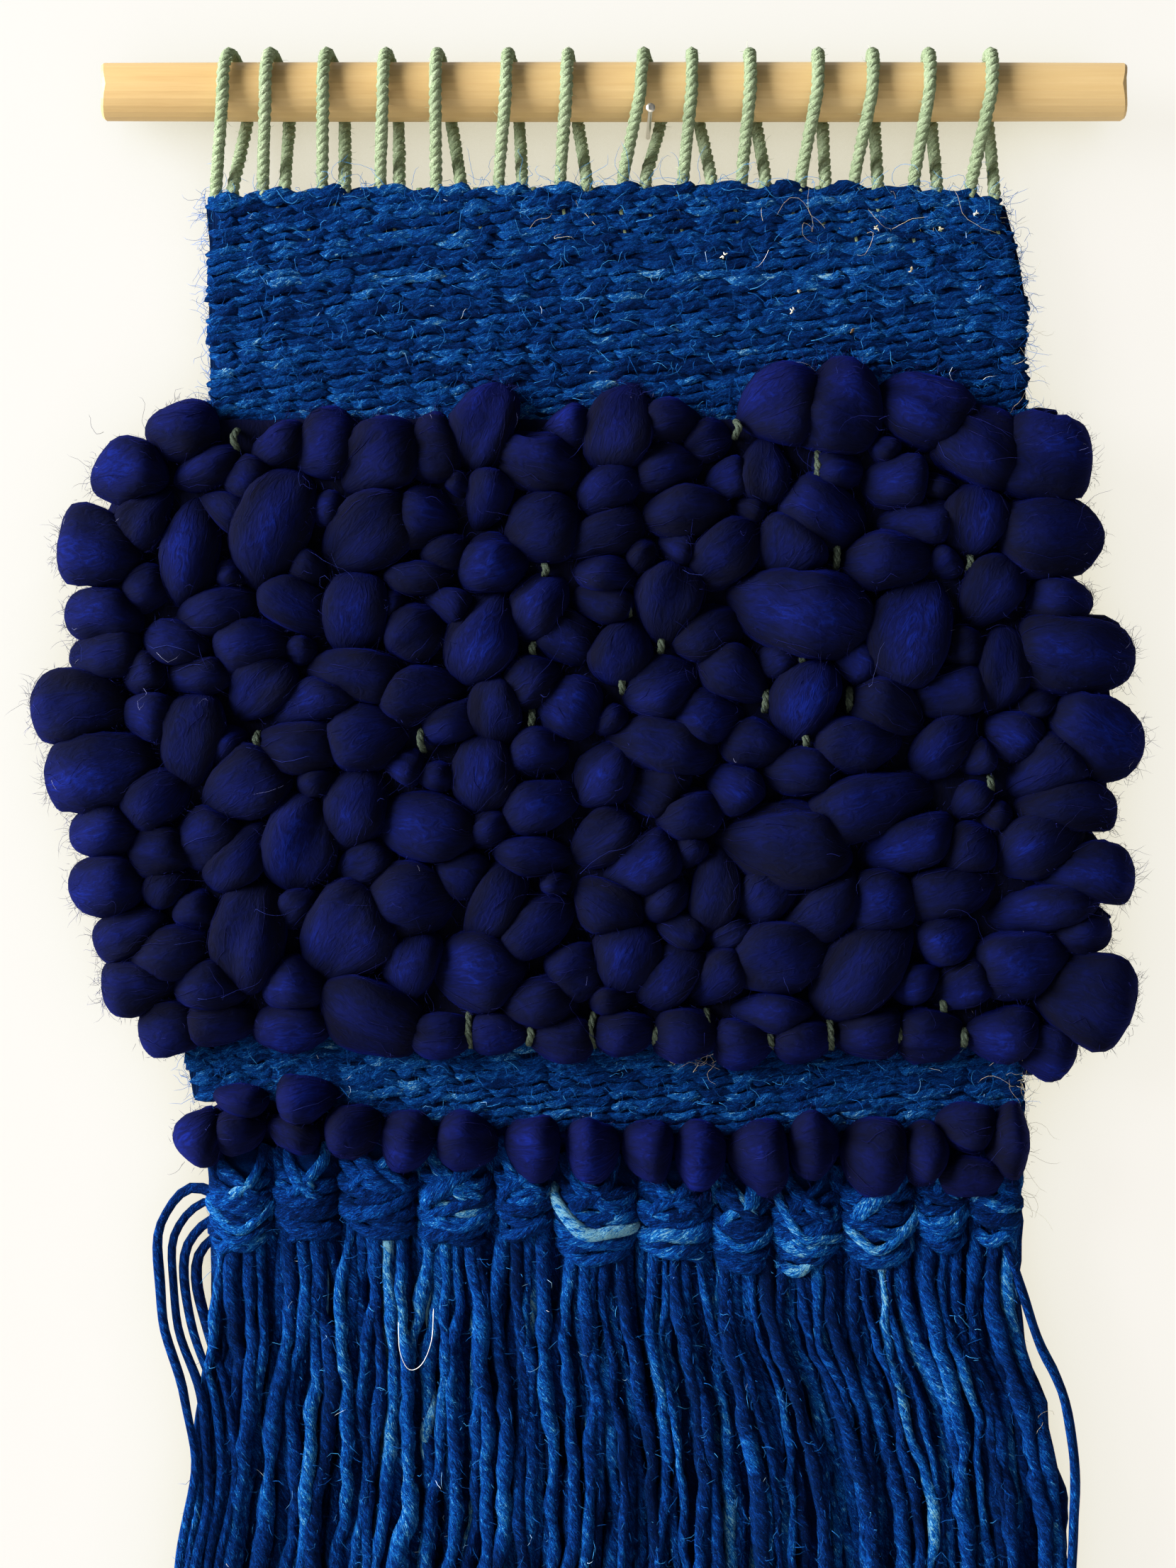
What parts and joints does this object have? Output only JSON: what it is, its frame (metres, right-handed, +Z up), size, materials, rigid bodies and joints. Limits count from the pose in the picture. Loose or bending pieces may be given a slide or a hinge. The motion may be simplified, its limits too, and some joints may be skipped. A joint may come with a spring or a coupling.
{
  "type": "woven wall hanging on a wooden dowel",
  "caption": "Hand-woven wool wall hanging with plain-weave bands, thick roving tufts and a knotted fringe, looped over a wooden dowel that rests on a nail.",
  "frame": {"origin": "the point where the nail enters the wall, in the plane of the wall", "axes": "+Z up, +X right seen from the front, the hanging is in front of the wall at -Y"},
  "size_m": [0.3093, 0.0302, 0.5211],
  "materials": {
    "wood": "pale sanded hardwood, oiled or bare",
    "nail_steel": "plain steel wire nail",
    "warp_wool": "sage green plied wool yarn",
    "weft_wool": "indigo thick-and-thin handspun wool",
    "carded_wool": "midnight blue unspun combed wool roving",
    "fringe_wool": "indigo handspun wool yarn with pale streaks"
  },
  "bodies": {
    "root": {"dowel": "wood", "hanging_nail": "nail_steel", "warp_loop_01": "warp_wool", "warp_loop_02": "warp_wool", "warp_loop_03": "warp_wool", "warp_loop_04": "warp_wool", "warp_loop_05": "warp_wool", "warp_loop_06": "warp_wool", "warp_loop_07": "warp_wool", "warp_loop_08": "warp_wool", "warp_loop_09": "warp_wool", "warp_loop_10": "warp_wool", "warp_loop_11": "warp_wool", "warp_loop_12": "warp_wool", "warp_loop_13": "warp_wool", "warp_loop_14": "warp_wool", "upper_band": "weft_wool", "roving_block": "carded_wool", "lower_band": "weft_wool", "roving_row": "carded_wool", "fringe_01": "fringe_wool", "fringe_02": "fringe_wool", "fringe_03": "fringe_wool", "fringe_04": "fringe_wool", "fringe_05": "fringe_wool", "fringe_06": "fringe_wool", "fringe_07": "fringe_wool", "fringe_08": "fringe_wool", "fringe_09": "fringe_wool", "fringe_10": "fringe_wool", "fringe_11": "fringe_wool", "fringe_12": "fringe_wool"}
  },
  "joints": []
}
